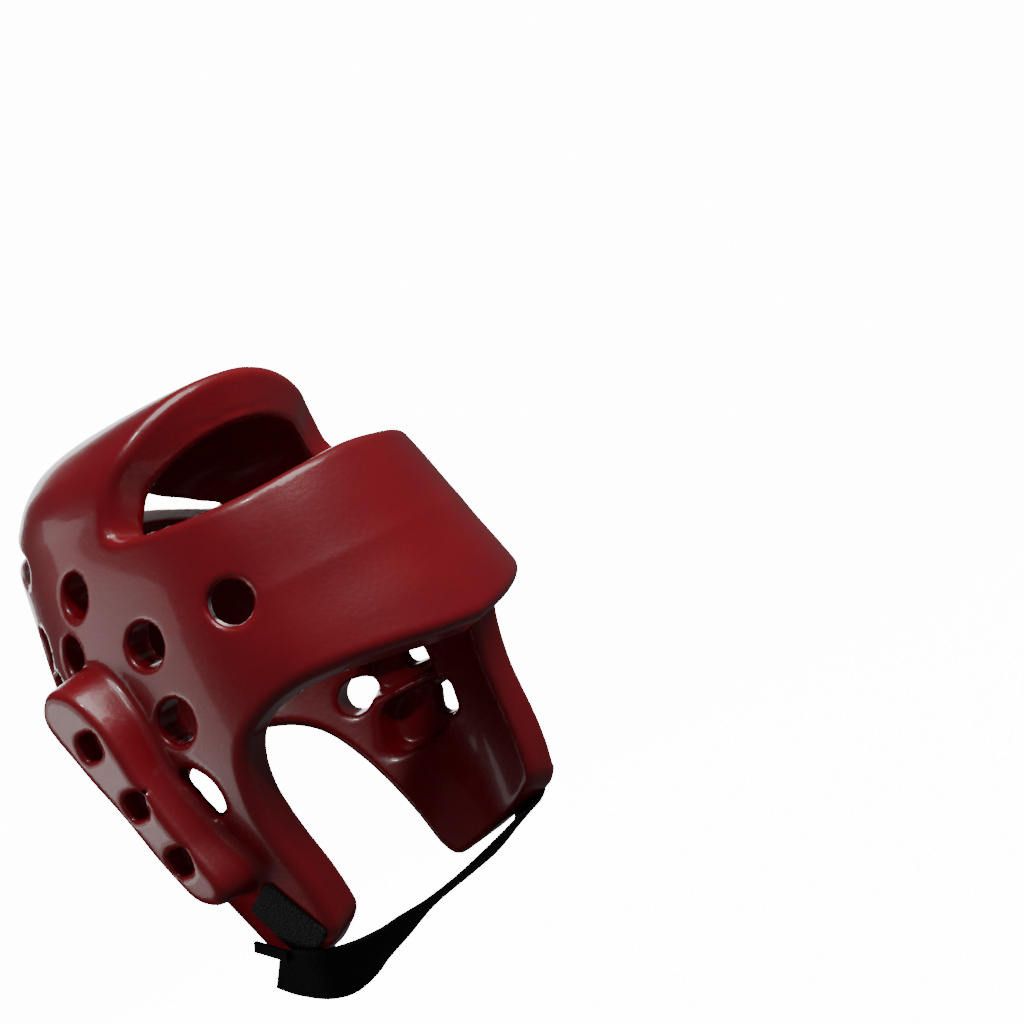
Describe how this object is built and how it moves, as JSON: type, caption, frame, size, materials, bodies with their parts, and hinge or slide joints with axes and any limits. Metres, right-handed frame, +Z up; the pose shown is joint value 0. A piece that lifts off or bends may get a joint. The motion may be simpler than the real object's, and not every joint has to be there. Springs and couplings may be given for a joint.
{
  "type": "taekwondo headgear",
  "caption": "Dipped foam head guard with an open face, an open crown front, round vents, ear guards that stand off the sides and a chin strap held by hook patches.",
  "frame": {"origin": "where the crown of the head meets the inside of the shell's top", "axes": "+Z up, the wearer faces -Y, and +X is the wearer's left"},
  "size_m": [0.2454, 0.2243, 0.2742],
  "materials": {
    "dipped_foam": "glossy",
    "hook_tape": "matte",
    "webbing": "matte"
  },
  "bodies": {
    "root": {"foam_shell": "dipped_foam", "ear_guard_left": "dipped_foam", "ear_guard_right": "dipped_foam", "hook_patch_left": "hook_tape", "hook_patch_right": "hook_tape", "chin_strap": "webbing", "strap_tail": "webbing"}
  },
  "joints": []
}
